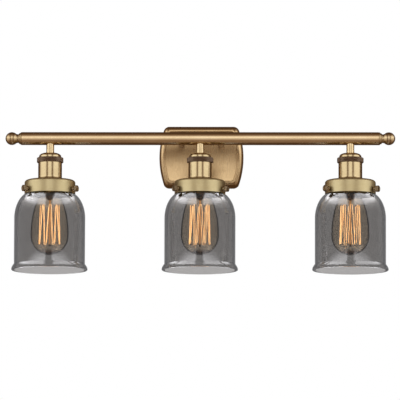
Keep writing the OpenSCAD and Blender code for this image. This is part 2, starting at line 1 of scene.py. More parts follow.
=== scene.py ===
import math

import bmesh
import bpy
from mathutils import Matrix, Quaternion, Vector


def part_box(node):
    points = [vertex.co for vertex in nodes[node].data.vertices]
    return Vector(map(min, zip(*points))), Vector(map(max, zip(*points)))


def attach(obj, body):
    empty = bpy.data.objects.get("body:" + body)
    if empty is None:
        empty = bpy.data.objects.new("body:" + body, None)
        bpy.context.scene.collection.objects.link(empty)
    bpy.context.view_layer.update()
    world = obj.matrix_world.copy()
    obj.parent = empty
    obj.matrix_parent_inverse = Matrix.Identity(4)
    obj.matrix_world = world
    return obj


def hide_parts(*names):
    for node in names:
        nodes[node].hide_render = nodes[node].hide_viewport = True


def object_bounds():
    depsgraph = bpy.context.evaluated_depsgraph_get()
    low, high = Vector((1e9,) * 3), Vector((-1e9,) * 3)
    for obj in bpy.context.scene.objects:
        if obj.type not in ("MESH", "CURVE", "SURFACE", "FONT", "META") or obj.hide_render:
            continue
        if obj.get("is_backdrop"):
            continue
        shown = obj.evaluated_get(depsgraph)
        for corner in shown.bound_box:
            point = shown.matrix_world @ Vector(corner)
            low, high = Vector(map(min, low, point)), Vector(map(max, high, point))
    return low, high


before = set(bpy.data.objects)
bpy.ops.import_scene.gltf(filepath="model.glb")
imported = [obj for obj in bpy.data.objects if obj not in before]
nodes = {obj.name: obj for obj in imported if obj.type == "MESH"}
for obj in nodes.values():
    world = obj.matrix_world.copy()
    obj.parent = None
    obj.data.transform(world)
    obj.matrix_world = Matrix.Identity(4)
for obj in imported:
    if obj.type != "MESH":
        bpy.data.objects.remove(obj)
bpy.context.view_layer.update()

scene = bpy.context.scene


# ---- Camera -------------------------------------------------------------------------------
# A long lens stands a little below the light bar and a touch to its right, and is turned so
# that the bar lies level in the view.
view_width = 0.676
lens, sensor = 400, 36
turn, lift, roll = math.radians(1.3), math.radians(-7), math.radians(0.2)
aim = Vector((0, -0.104, -0.0852))
back = Vector((math.sin(turn) * math.cos(lift), -math.cos(turn) * math.cos(lift), math.sin(lift)))
camera = bpy.data.objects.new("camera", bpy.data.cameras.new("camera"))
camera.data.lens, camera.data.sensor_width = lens, sensor
camera.data.clip_end = 100
camera.rotation_mode = "QUATERNION"
camera.rotation_quaternion = back.to_track_quat("Z", "Y") @ Quaternion((0, 0, 1), roll)
camera.location = aim + back * view_width * lens / sensor
scene.collection.objects.link(camera)
scene.camera = camera


# ---- Studio -------------------------------------------------------------------------------
# A white sweep lies behind and under the light bar. Metal sees tall soft boxes to its left and
# right and a wide low one in front, and the glass sees two others that hang above it.
class Socket:
    """A node tree's socket. Python's operators on it add Math nodes, and node() adds any other."""

    def __init__(self, tree, socket=None):
        self.tree, self.socket = tree, socket

    def node(self, kind, inputs=None, out=0, **settings):
        made = self.tree.nodes.new(kind)
        for name, value in settings.items():
            setattr(made, name, value)
        for key, value in (inputs or {}).items():
            if isinstance(value, Socket):
                self.tree.links.new(value.socket, made.inputs[key])
            else:
                made.inputs[key].default_value = value
        return Socket(self.tree, made.outputs[out])

    def math(self, operation, *values):
        return self.node("ShaderNodeMath", dict(enumerate(values)), operation=operation)

    def __add__(self, other):
        return self.math("ADD", self, other)

    __radd__ = __add__

    def __sub__(self, other):
        return self.math("SUBTRACT", self, other)

    def __rsub__(self, other):
        return self.math("SUBTRACT", other, self)

    def __mul__(self, other):
        return self.math("MULTIPLY", self, other)

    __rmul__ = __mul__

    def __truediv__(self, other):
        return self.math("DIVIDE", self, other)

    def __pow__(self, other):
        return self.math("POWER", self, other)

    def __abs__(self):
        return self.math("ABSOLUTE", self)

    def axis(self, letter):
        """One of the three numbers of a vector."""
        return self.node("ShaderNodeSeparateXYZ", {0: self}, out="XYZ".index(letter))

    def step(self, low, high):
        """0 below low, 1 above high, and smooth between them."""
        ends = {"Value": self, "From Min": low, "From Max": high}
        if low > high:
            return 1 - self.step(high, low)
        return self.node("ShaderNodeMapRange", ends, interpolation_type="SMOOTHSTEP")

    def mix(self, low, high):
        """A colour between low and high, which are colours."""
        low, high = ((*c, 1) if isinstance(c, tuple) else c for c in (low, high))
        return self.node("ShaderNodeMix", {0: self, 6: low, 7: high}, out=2, data_type="RGBA")

    def noise(self, scale, detail=2, rough=0.5, stretch=None):
        """Noise from 0 to 1 at a place, with scale grains to the metre along each axis."""
        place = self
        if stretch:
            place = self.node("ShaderNodeMapping", {"Vector": self, "Scale": stretch})
        return self.node(
            "ShaderNodeTexNoise", {"Vector": place, "Scale": scale, "Detail": detail, "Roughness": rough}
        )


sweep_white = 1.0
matt_light = (0.9, 0.9, 0.9)
world = bpy.data.worlds.new("studio")
world.use_nodes = True
scene.world = world
scene.view_settings.view_transform = "Standard"
tree = world.node_tree
towards = Socket(tree).node("ShaderNodeTexCoord", out="Generated")
right, front, up = towards.axis("X"), 0 - towards.axis("Y"), towards.axis("Z")
side = abs(right)
level = (up.step(-0.7, 0.1) * 0.5 + up.step(0.08, 0.2) * 0.35 + 0.15) * (1 - up.step(0.25, 0.95) * 0.93)
side_box = side.step(0.42, 0.66) * front.step(-0.45, -0.05) * level * 1.5
front_box = (1 - side.step(0.22, 0.4)) * front.step(0.0, 0.3) * level * 1.45
lit = side_box + front_box
warmth = lit.step(-0.3, 1.0).mix((1.0, 0.64, 0.42), (1.0, 1.02, 1.0))
seen_in_metal = warmth.node(
    "ShaderNodeVectorMath", {0: warmth, 1: lit.node("ShaderNodeCombineXYZ", {0: lit, 1: lit, 2: lit})},
    operation="MULTIPLY",
)
seen_in_metal = seen_in_metal.node(
    "ShaderNodeVectorMath", {0: seen_in_metal, 1: (0.10, 0.06, 0.035)}, operation="ADD"
)
hung_boxes = side.step(0.10, 0.24) * up.step(0.52, 0.70) * (4.6 - right * 1.0)
hung_boxes = hung_boxes + front.step(0.1, -0.6) * 0.12 + 0.25
seen_in_glass = up.node("ShaderNodeCombineXYZ", {0: hung_boxes, 1: hung_boxes, 2: hung_boxes * 1.03})
ray = {
    name: towards.node("ShaderNodeLightPath", out=name)
    for name in (
        "Is Camera Ray", "Is Diffuse Ray", "Is Singular Ray", "Is Transmission Ray", "Ray Depth",
        "Transmission Depth",
    )
}
straight = ray["Ray Depth"].math("LESS_THAN", ray["Ray Depth"] - ray["Transmission Depth"], 1.5)
through = ray["Is Transmission Ray"] * straight
direct = ray["Is Camera Ray"].math("MAXIMUM", ray["Is Camera Ray"], through)
reflected = ray["Is Singular Ray"].mix(seen_in_metal, seen_in_glass)
reflected = ray["Is Diffuse Ray"].mix(reflected, matt_light)
backdrop = direct.mix(reflected, (sweep_white,) * 3)
tree.links.new(backdrop.socket, tree.nodes["Background"].inputs["Color"])

floor_mesh = bpy.data.meshes.new("floor")
floor_z, floor_half = -1.35, 9.0
floor_mesh.from_pydata(
    [(x * floor_half, y * floor_half, floor_z) for x, y in ((-1, -1), (1, -1), (1, 1), (-1, 1))],
    [], [(0, 1, 2, 3)],
)
floor = bpy.data.objects.new("floor", floor_mesh)
scene.collection.objects.link(floor)
floor_paint = bpy.data.materials.new("floor_paint")
floor_paint.use_nodes = True
floor_shader = floor_paint.node_tree.nodes["Principled BSDF"]
floor_shader.inputs["Base Color"].default_value = (0.82, 0.81, 0.79, 1)
floor_shader.inputs["Roughness"].default_value = 0.9
beneath = Socket(floor_paint.node_tree).node("ShaderNodeNewGeometry", out="Backfacing")
floor_paint.node_tree.links.new((1 - beneath).socket, floor_shader.inputs["Alpha"])
floor_mesh.materials.append(floor_paint)
floor.visible_glossy = False
floor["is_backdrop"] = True


def soft_box(name, place, size, power, colour=(1, 0.97, 0.93)):
    """A square area light that faces the middle of the light bar."""
    light = bpy.data.lights.new(name, "AREA")
    light.shape, light.size, light.energy, light.color = "SQUARE", size, power, colour
    stand = bpy.data.objects.new(name, light)
    stand.location = place
    stand.rotation_mode = "QUATERNION"
    stand.rotation_quaternion = (Vector(place) - aim).to_track_quat("Z", "Y")
    stand.visible_camera = False
    stand.visible_glossy = False
    stand.visible_transmission = False
    scene.collection.objects.link(stand)


soft_box("key_light", (-1.5, -1.9, 1.3), 1.2, 26)
soft_box("fill_light", (1.7, -1.7, 0.7), 1.4, 16)


# ---- Wall strap and its fasteners ---------------------------------------------------------
# A zinc-plated steel strap screws to the junction box. It carries two threaded studs, their
# jam nuts and a green ground screw.
def new_material(name):
    """A material, its Principled shader and the place on the piece as a vector."""
    made = bpy.data.materials.new(name)
    made.use_nodes = True
    shader = made.node_tree.nodes["Principled BSDF"]
    place = Socket(made.node_tree).node("ShaderNodeTexCoord", out="Object")
    return made, shader, place


def feed(shader, **inputs):
    """Sets or links the shader's sockets; _ in a name stands for a space."""
    for name, value in inputs.items():
        socket = shader.inputs[name.replace("_", " ")]
        if isinstance(value, Socket):
            value.tree.links.new(value.socket, socket)
        else:
            socket.default_value = (*value, 1) if isinstance(value, tuple) and len(value) == 3 else value


def bump(height, strength, depth):
    """The normal of a surface whose height goes from 0 to depth, in metres."""
    return height.node("ShaderNodeBump", {"Strength": strength, "Distance": depth, "Height": height})


def plated(name, colour, roughness, spangle, metallic=1.0, thread=0.0):
    """Plated or dyed metal, with a faint spangle and fine scratches."""
    made, shader, place = new_material(name)
    cloud = place.noise(90, 4)
    fleck = place.noise(900, 2)
    feed(
        shader,
        Base_Color=(cloud * 0.6 + fleck * 0.4).step(0.3, 0.7).mix(
            tuple(c * spangle for c in colour), colour
        ),
        Metallic=metallic,
        Roughness=cloud * 0.2 + (roughness - 0.1),
    )
    height = fleck
    if thread:
        height = (place.axis("Y") * thread).math("PINGPONG", place.axis("Y") * thread, 1.0)
    feed(shader, Normal=bump(height, 0.6 if thread else 0.15, 0.0004 if thread else 0.0001))
    return made


def finish_nodes(material, slot, *names):
    """Gives CAD nodes their material. slot is not used."""
    for name in names:
        mesh = nodes[name].data
        for i in range(len(mesh.materials)):
            mesh.materials[i] = material


zinc = plated("zinc_plate", (0.62, 0.62, 0.6), 0.34, 0.72)
threads = plated("zinc_threads", (0.6, 0.6, 0.58), 0.32, 0.8, thread=2800)
finish_nodes(
    zinc, "zinc_steel", "crossbar", "stud_nuts", "post_washers", "post_nuts", "bar_bushings",
    "socket_nuts",
)
finish_nodes(threads, "zinc_steel", "mounting_studs")
finish_nodes(plated("green_dye", (0.05, 0.30, 0.10), 0.36, 0.6, 0.55), "ground_green", "ground_screw")


# ---- Backplate ----------------------------------------------------------------------------
# One sheet of brass, pressed into a cushion shape with a raised round border, brushed up and
# down on its face, then aged and lacquered.
MM = 0.001


def brass(name, grain, roughness=0.2, colour=(0.68, 0.535, 0.335), aged=(0.50, 0.36, 0.19), line=0.35):
    """Aged brass. grain gives the brush lines to the metre along X, Y and Z."""
    made, shader, place = new_material(name)
    brush = place.noise(1.0, 3, 0.6, grain)
    cloud = place.noise(28, 4, 0.6)
    spot = place.noise(420, 3, 0.6)
    wear = (cloud * 0.6 + spot * 0.4).step(0.1, 0.9)
    tone = (brush - 0.5) * line + wear
    feed(
        shader,
        Base_Color=tone.step(-0.2, 1.1).mix(aged, colour),
        Metallic=1.0,
        Roughness=(brush - 0.5) * 0.16 + (1 - wear) * 0.06 + roughness,
        Normal=bump(brush * 0.8 + spot * 0.2, 0.16, 0.00002),
    )
    shader.inputs["Coat Weight"].default_value = 0.15
    shader.inputs["Coat Roughness"].default_value = 0.12
    return made


def make_piece(name, points, faces, material, body, replaced, sharp=38):
    """A piece from its points and faces, with round edges shaded round and others left sharp."""
    mesh = bpy.data.meshes.new(name)
    mesh.from_pydata([tuple(p) for p in points], [], faces)
    made = bmesh.new()
    made.from_mesh(mesh)
    bmesh.ops.remove_doubles(made, verts=made.verts, dist=1e-7)
    bmesh.ops.recalc_face_normals(made, faces=made.faces)
    made.to_mesh(mesh)
    made.free()
    piece = bpy.data.objects.new(name, mesh)
    scene.collection.objects.link(piece)
    return settle(piece, material, body, replaced, sharp)


def settle(piece, material, body, replaced, sharp=38):
    """Shades a finished piece, gives it its material and ties it to its body."""
    mesh = piece.data
    mesh.materials.clear()
    mesh.materials.append(material)
    mesh.shade_smooth()
    mesh.set_sharp_from_angle(angle=math.radians(sharp))
    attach(piece, body)
    if replaced:
        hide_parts(*replaced)
    return piece


plate_w, plate_h, side_bulge, corner_r = 144, 106, 6.5, 10


def arc(cx, cy, rx, ry, start, end, count):
    """Points on an ellipse about (cx, cy), from one angle to another in degrees."""
    angles = [math.radians(start + (end - start) * i / count) for i in range(count + 1)]
    return [(cx + rx * math.cos(a), cy + ry * math.sin(a)) for a in angles]


def plate_outline(inset):
    """The plate's outline at an inset from its edge, counter-clockwise from the front."""
    half = plate_h / 2 - corner_r
    big = (half**2 + side_bulge**2) / (2 * side_bulge)
    middle, r = plate_w / 2 - big, big - inset
    small, top = max(corner_r - inset * 0.5, 3), plate_h / 2 - inset
    corner = middle + math.sqrt((r - small) ** 2 - (top - small) ** 2)
    angle = math.degrees(math.atan2(top - small, corner - middle))
    right = arc(corner, small - top, small, small, -90, -angle, 12)
    right += arc(middle, 0, r, r, -angle * 0.94, angle * 0.94, 26)
    right += arc(corner, top - small, small, small, angle, 90, 12)
    return right + [(-x, z) for x, z in reversed(right)]


wall, depth, crown, border = 1.2, 22, 6.6, 9.4
outside = [(0, 0), (crown * 0.5, 0)]
outside += [
    (crown + (depth - crown) * math.sin(math.radians(a)), border * (1 - math.cos(math.radians(a))))
    for a in range(0, 91, 9)
]
outside += [(depth - 0.08, border + 0.35), (depth - 0.35, border + 0.75), (depth - 0.8, border + 1.0)]
outside += [(depth - 1.2, border + 1.15), (depth - 1.42, border + 1.45), (depth - 1.5, border + 1.9)]
inside = [(max(d - wall, 0), i + wall * 0.9) for d, i in outside]
rings = [plate_outline(i) for _, i in outside] + [plate_outline(i) for _, i in reversed(inside)]
depths = [d for d, _ in outside] + [d for d, _ in reversed(inside)]
count = len(rings[0])
plate_points = [(x * MM, -d * MM, z * MM) for ring, d in zip(rings, depths) for x, z in ring]
plate_faces = []
for i in range(len(rings)):
    j = (i + 1) % len(rings)
    if i == len(outside) - 1:
        plate_faces.append([i * count + k for k in range(count)])
        plate_faces.append([j * count + k for k in reversed(range(count))])
        continue
    for k in range(count):
        m = (k + 1) % count
        plate_faces.append((i * count + k, i * count + m, j * count + m, j * count + k))
face_brass = brass(
    "brushed_plate_brass", (2600, 60, 26), 0.25, (0.64, 0.46, 0.26), (0.50, 0.335, 0.17), 0.07
)
make_piece(
    "backplate_pressing", plate_points, plate_faces, face_brass, "fixture",
    ["backplate"], 50,
)


# ---- Cap nuts and posts -------------------------------------------------------------------
# Domed brass nuts close the studs. Two hollow brass posts, turned and polished, hold the bar
# off the plate.
turned_brass = brass("turned_brass", (40, 1900, 40), 0.2)
finish_nodes(turned_brass, "satin_brass", "cap_nuts")
# The posts' brass is painted far darker than every other brass: painted shade for the shadow between the
# bar and the plate.
post_brass = brass("post_brass", (40, 1900, 40), 0.26, (0.27, 0.16, 0.08), (0.18, 0.10, 0.05), 0.1)
finish_nodes(post_brass, "satin_brass", "posts")


# ---- Bar ----------------------------------------------------------------------------------
# A brass tube drawn and polished along its length.
bar_brass = brass("bar_brass", (9, 1500, 1500), 0.17, (0.74, 0.575, 0.37), (0.60, 0.43, 0.24), 0.2)
finish_nodes(bar_brass, "satin_brass", "bar_tube")
tube_low, tube_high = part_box("bar_tube")
bar_z = (tube_low.z + tube_high.z) / 2


# ---- Finials ------------------------------------------------------------------------------
# Solid brass, turned on a lathe: a spigot in the tube, a stepped collar, a cone and a ball.
def open_tree(name, **kinds):
    """A Geometry Nodes tree that takes inputs of these kinds: a place to start, and its inputs."""
    tree = bpy.data.node_groups.new(name, "GeometryNodeTree")
    for label, kind in kinds.items():
        tree.interface.new_socket(label, in_out="INPUT", socket_type="NodeSocket" + kind)
    tree.interface.new_socket("Piece", in_out="OUTPUT", socket_type="NodeSocketGeometry")
    given = tree.nodes.new("NodeGroupInput")
    return Socket(tree), {label: Socket(tree, given.outputs[label]) for label in kinds}


def close_tree(start, shape, finish):
    """Ends a tree with its shape as real geometry, in its material."""
    real = start.node("GeometryNodeRealizeInstances", {"Geometry": shape})
    done = start.node("GeometryNodeSetMaterial", {"Geometry": real, "Material": finish})
    end = start.tree.nodes.new("NodeGroupOutput")
    start.tree.links.new(done.socket, end.inputs[0])
    return start.tree


def about_z(angle, radius, height):
    """A place at an angle about Z, as a vector."""
    return angle.node(
        "ShaderNodeCombineXYZ",
        {0: radius * angle.math("COSINE", angle), 1: radius * angle.math("SINE", angle), 2: height},
    )


def turning_tree():
    """Turns a profile about Z. The profile is a line of points with X as the radius."""
    start, take = open_tree(
        "turning", Profile="Geometry", Points="Int", Segments="Int", Finish="Material"
    )
    grid = start.node(
        "GeometryNodeMeshGrid",
        {"Size X": 1.0, "Size Y": 1.0, "Vertices X": take["Points"], "Vertices Y": take["Segments"] + 1},
    )
    spot = start.node("GeometryNodeInputPosition")
    index = (spot.axis("X") + 0.5) * (take["Points"] - 1)
    angle = (spot.axis("Y") + 0.5) * (2 * math.pi)
    number = index.node("FunctionNodeFloatToInt", {0: index}, rounding_mode="ROUND")
    point = start.node(
        "GeometryNodeSampleIndex", {"Geometry": take["Profile"], "Value": spot, "Index": number},
        data_type="FLOAT_VECTOR", domain="POINT",
    )
    place = about_z(angle, point.axis("X"), point.axis("Z"))
    turned_grid = start.node("GeometryNodeSetPosition", {"Geometry": grid, "Position": place})
    merged = start.node("GeometryNodeMergeByDistance", {"Geometry": turned_grid, "Distance": 1e-7})
    return close_tree(start, merged, take["Finish"])


turning = turning_tree()


def grow(name, tree, mesh=None, **values):
    """Runs a Geometry Nodes tree and keeps the result as a plain mesh. _ stands for a space."""
    piece = bpy.data.objects.new(name, mesh or bpy.data.meshes.new(name))
    scene.collection.objects.link(piece)
    modifier = piece.modifiers.new("grow", "NODES")
    modifier.node_group = tree
    for item in tree.interface.items_tree:
        key = item.name.replace(" ", "_")
        if item.in_out == "INPUT" and key in values:
            modifier[item.identifier] = values[key]
    bpy.context.view_layer.update()
    graph = bpy.context.evaluated_depsgraph_get()
    made = bpy.data.meshes.new_from_object(
        piece.evaluated_get(graph), preserve_all_data_layers=True, depsgraph=graph
    )
    piece.modifiers.clear()
    piece.data = made
    made.name = name
    return piece


def rounded(points, radius, steps=3):
    """A line of (radius, height) points with its corners eased."""
    line = [Vector(p) for p in points]
    eased = [line[0]]
    for before, corner, after in zip(line, line[1:], line[2:]):
        into, out = before - corner, after - corner
        cut = min(radius, into.length * 0.45, out.length * 0.45)
        if cut < 1e-6 or into.normalized().dot(out.normalized()) < -0.97:
            eased.append(corner)
            continue
        a, b = corner + into.normalized() * cut, corner + out.normalized() * cut
        for i in range(steps + 1):
            t = i / steps
            eased.append(a * (1 - t) ** 2 + corner * 2 * t * (1 - t) + b * t**2)
    return [tuple(p) for p in eased + [line[-1]]]


def line_mesh(name, points):
    """A mesh that is only a line through points in millimetres."""
    mesh = bpy.data.meshes.new(name)
    edges = [(i, i + 1) for i in range(len(points) - 1)]
    mesh.from_pydata([tuple(c * MM for c in p) for p in points], edges, [])
    return mesh


def turned(name, profile, material, place, closed=True, segments=96):
    """A piece turned about place's Z axis from (radius, height) points in millimetres."""
    line = list(profile) + ([profile[0]] if closed else [])
    mesh = line_mesh(name, [(r, 0, z) for r, z in line])
    piece = grow(name, turning, mesh, Points=len(line), Segments=segments, Finish=material)
    tidy = bmesh.new()
    tidy.from_mesh(piece.data)
    bmesh.ops.remove_doubles(tidy, verts=tidy.verts, dist=1e-7)
    bmesh.ops.dissolve_degenerate(tidy, edges=tidy.edges, dist=1e-8)
    bmesh.ops.recalc_face_normals(tidy, faces=tidy.faces)
    tidy.to_mesh(piece.data)
    tidy.free()
    piece.data.transform(place)
    return piece


ball_r, neck_r, finial_len = 10.9, 7.25, 28
collar = [
    (0, -12), (9.4, -12), (9.4, 0), (10.5, 0), (10.5, 0.5), (11, 0.8), (11, 1.5), (10.3, 2.1),
    (9.2, 3.1), (9.4, 3.5), (9.4, 4.2), (8.8, 4.7), (8.3, 4.9), (7.9, 5.6), (7.5, 5.9), (7.25, 6.6),
]
join = math.degrees(math.asin(neck_r / ball_r)) - 90
finial_profile = rounded(collar, 0.25, 2) + arc(0, finial_len - ball_r, ball_r, ball_r, join, 90, 26)[1:]
finial_brass = brass("finial_brass", (1700, 50, 50), 0.21, line=0.12)
for name, sign in (("finial_left", -1), ("finial_right", 1)):
    low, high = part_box(name)
    end = Vector((sign * tube_high.x, (low.y + high.y) / 2, bar_z))
    place = Matrix.Translation(end) @ Matrix.Rotation(math.radians(90 * sign), 4, "Y")
    piece = turned(name + "_turning", finial_profile, finial_brass, place, closed=False)
    settle(piece, finial_brass, "fixture", [name], 30)


# ---- Wires --------------------------------------------------------------------------------
# Black and white plastic-covered leads, joined to the supply in two orange wire nuts.
def moulded(name, colour, roughness, scale=700):
    """Moulded plastic with a faint orange-peel skin."""
    made, shader, place = new_material(name)
    skin = place.noise(scale, 3)
    cloud = place.noise(60, 2)
    feed(
        shader,
        Base_Color=cloud.step(0.3, 0.7).mix(tuple(c * 0.82 for c in colour), colour),
        Roughness=skin * 0.2 + (roughness - 0.1),
        Normal=bump(skin, 0.2, 0.0002),
    )
    return made


finish_nodes(moulded("black_cover", (0.022, 0.022, 0.024), 0.42), "black_insulation", "wires_black")
finish_nodes(moulded("white_cover", (0.80, 0.79, 0.75), 0.42), "white_insulation", "wires_white")
finish_nodes(moulded("orange_cap", (0.80, 0.23, 0.03), 0.4), "orange_plastic", "wire_nuts")


# ---- Stems, caps and socket shells --------------------------------------------------------
# Turned brass stems hang from the bar. Each carries a spun cap and a drawn socket shell with a
# flared foot, polished round and round.
SIDES = ("left", "center", "right")
spun_brass = brass("spun_brass", (30, 30, 1700), 0.17, (0.68, 0.55, 0.335), (0.54, 0.41, 0.225), 0.25)
stem_brass = brass("stem_brass", (400, 400, 40), 0.15, (0.80, 0.63, 0.385), (0.66, 0.505, 0.29), 0.2)
for side_name in SIDES:
    finish_nodes(spun_brass, "satin_brass", "socket_cap_" + side_name, "socket_shell_" + side_name)
    finish_nodes(stem_brass, "satin_brass", "stem_" + side_name)


# ---- Knurled rings ------------------------------------------------------------------------
# A dark ring with a diamond knurl screws onto each socket shell and holds the cap down.
def lamp_place(side_name):
    """The frame of one lamp: its Z axis runs down the lamp and its zero is the bar's axis."""
    low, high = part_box("shade_" + side_name)
    return Matrix.Translation(((low.x + high.x) / 2, (low.y + high.y) / 2, bar_z))


def knurl_tree():
    """Rows of four-sided points on a cylinder about Z, every other row moved half a pitch."""
    start, take = open_tree(
        "knurl", Radius="Float", Low="Float", High="Float", Around="Int", Rows="Int", Tooth="Float",
        Finish="Material",
    )
    number = start.node("GeometryNodeInputIndex")
    row = (number / take["Around"]).math("FLOOR", number / take["Around"])
    step = number - row * take["Around"] + row.math("MODULO", row, 2.0) * 0.5
    angle = step / take["Around"] * (2 * math.pi)
    height = take["Low"] + (take["High"] - take["Low"]) * (row + 0.5) / take["Rows"]
    spot = about_z(angle, take["Radius"], height)
    points = start.node("GeometryNodePoints", {"Count": take["Around"] * take["Rows"], "Position": spot})
    pitch = (take["High"] - take["Low"]) / take["Rows"]
    tooth = start.node(
        "GeometryNodeMeshCone",
        {"Vertices": 4, "Radius Top": 0.0, "Radius Bottom": pitch * 1.02, "Depth": take["Tooth"]},
    )
    outward = about_z(angle, 1.0, 0.0)
    facing = start.node(
        "FunctionNodeAlignRotationToVector", {"Vector": outward}, axis="Z", pivot_axis="AUTO"
    )
    teeth = start.node(
        "GeometryNodeInstanceOnPoints", {"Points": points, "Instance": tooth, "Rotation": facing}
    )
    return close_tree(start, teeth, take["Finish"])


knurl = knurl_tree()


def joined(name, *pieces):
    """One object from several meshes."""
    made = bmesh.new()
    for piece in pieces:
        made.from_mesh(piece.data)
        mesh = piece.data
        bpy.data.objects.remove(piece)
        bpy.data.meshes.remove(mesh)
    mesh = bpy.data.meshes.new(name)
    made.to_mesh(mesh)
    made.free()
    piece = bpy.data.objects.new(name, mesh)
    scene.collection.objects.link(piece)
    return piece


ring_brass = brass("dark_ring_brass", (200, 200, 200), 0.34, (0.31, 0.225, 0.165), (0.15, 0.10, 0.07))
ring_r, ring_top, ring_low, tooth_h = 22.5, -32.7, -41.4, 0.55
ring_profile = [
    (18.87, ring_top), (21.4, ring_top), (21.9, ring_top - 0.5), (21.95, ring_low + 0.5),
    (21.4, ring_low), (20.15, ring_low), (20.15, ring_top - 2.1), (18.87, ring_top - 2.1),
]
for side_name in SIDES:
    place = lamp_place(side_name)
    band = turned("band", rounded(ring_profile, 0.3), ring_brass, Matrix(), segments=128)
    teeth = grow(
        "teeth", knurl, Radius=(ring_r - tooth_h) * MM + tooth_h / 2 * MM - 0.0003,
        Low=(ring_low + 0.7) * MM, High=(ring_top - 0.7) * MM, Around=84, Rows=8,
        Tooth=tooth_h * MM, Finish=ring_brass,
    )
    piece = joined("knurled_ring_" + side_name, band, teeth)
    piece.data.transform(place)
    settle(piece, ring_brass, "fixture", ["socket_ring_" + side_name], 25)


# ---- Socket insides -----------------------------------------------------------------------
# A black moulded body in each socket holds the rolled brass screw shell and the contact, and a
# black ring on its thread clamps the shade holder.
phenolic = moulded("black_phenolic", (0.030, 0.026, 0.022), 0.38)
finish_nodes(phenolic, "black_phenolic", "insulators", "retaining_rings")
rolled = brass("rolled_brass", (60, 60, 900), 0.2, (0.80, 0.62, 0.33), (0.66, 0.47, 0.22))
finish_nodes(rolled, "bright_brass", "center_contacts", "screw_shells")


# ---- Shade holders ------------------------------------------------------------------------
# A deep cup of spun brass, brushed round and round, with a tapped hole for each thumb screw.
cup_brass = brass("cup_brass", (26, 26, 2400), 0.38, (0.66, 0.565, 0.34), (0.53, 0.43, 0.23), 0.6)
for side_name in SIDES:
    finish_nodes(cup_brass, "satin_brass", "gallery_" + side_name)


# ---- Thumb screws -------------------------------------------------------------------------
# Dark brass screws, three to each shade holder, with a plain shoulder and a straight knurl
# around the head. Their tips hold the lip of the bell.
def ridge_tree():
    """Straight ridges around a head that is turned about Z."""
    start, take = open_tree(
        "ridges", Radius="Float", Low="Float", High="Float", Around="Int", Tooth="Float",
        Finish="Material",
    )
    angle = start.node("GeometryNodeInputIndex") / take["Around"] * (2 * math.pi)
    spot = about_z(angle, take["Radius"], (take["Low"] + take["High"]) * 0.5)
    points = start.node("GeometryNodePoints", {"Count": take["Around"], "Position": spot})
    ridge = start.node(
        "GeometryNodeMeshCylinder",
        {
            "Vertices": 6, "Side Segments": 1, "Radius": take["Tooth"],
            "Depth": take["High"] - take["Low"],
        },
    )
    spin = start.node("ShaderNodeCombineXYZ", {0: 0.0, 1: 0.0, 2: angle})
    teeth = start.node(
        "GeometryNodeInstanceOnPoints", {"Points": points, "Instance": ridge, "Rotation": spin}
    )
    return close_tree(start, teeth, take["Finish"])


ridges = ridge_tree()
screw_brass = brass("screw_brass", (300, 300, 300), 0.24, (0.40, 0.31, 0.20), (0.20, 0.14, 0.08))
SCREWS = (("a", -146), ("b", -26), ("c", 94))
tip_r, screw_z, shoulder_x = 38.85, -88.0, 5.35
head_x = shoulder_x + 4
head_end = head_x + 4.9
screw_profile = rounded([
    (0, 0.01), (1.4, 0), (2, 0.6), (2, shoulder_x), (4.3, shoulder_x), (4.3, shoulder_x + 3.1),
    (3.5, shoulder_x + 3.5), (3.5, head_x), (4.9, head_x), (5.15, head_x + 0.3), (5.15, head_end),
    (4.7, head_end + 0.4), (3.4, head_end + 0.4), (2.9, head_end), (0, head_end),
], 0.3)
for side_name in SIDES:
    for letter, angle in SCREWS:
        core = turned("core", screw_profile, screw_brass, Matrix(), closed=False, segments=48)
        grip = grow(
            "grip", ridges, Radius=5.08 * MM, Low=(head_x + 0.35) * MM, High=(head_end - 0.1) * MM,
            Around=30, Tooth=0.4 * MM, Finish=screw_brass,
        )
        piece = joined(f"knurled_screw_{letter}_{side_name}", core, grip)
        along = Matrix.Rotation(math.radians(angle), 4, "Z")
        along = along @ Matrix.Translation((tip_r * MM, 0, screw_z * MM))
        outward = Matrix.Rotation(math.radians(90), 4, "Y")
        piece.data.transform(lamp_place(side_name) @ along @ outward)
        name = f"thumb_screw_{letter}_{side_name}"
        settle(piece, screw_brass, name, [name], 32)


# ---- Glass bells --------------------------------------------------------------------------
# Blown smoked glass with a beaded lip that the thumb screws hold, a round shoulder, straight
# sides and a rolled, slightly flared rim.
def glass(name, tint, edge, edge_from, other, other_z):
    """Polished glass. tint is what one wall lets through, edge its tone where it is seen edge-on
    and other its tone from the height other_z[1] on; it changes from other_z[0]."""
    made, shader, place = new_material(name)
    wave = place.noise(9, 2)
    tint = place.axis("Z").step(*other_z).mix(tint, other)
    facing = place.node("ShaderNodeLayerWeight", {"Blend": 0.5}, out="Facing")
    feed(
        shader,
        Base_Color=facing.step(edge_from, edge_from + 0.06).mix(tint, edge),
        Roughness=0.0,
        IOR=1.47,
        Transmission_Weight=1.0,
        Normal=bump(wave, 0.05, 0.0006),
    )
    return made
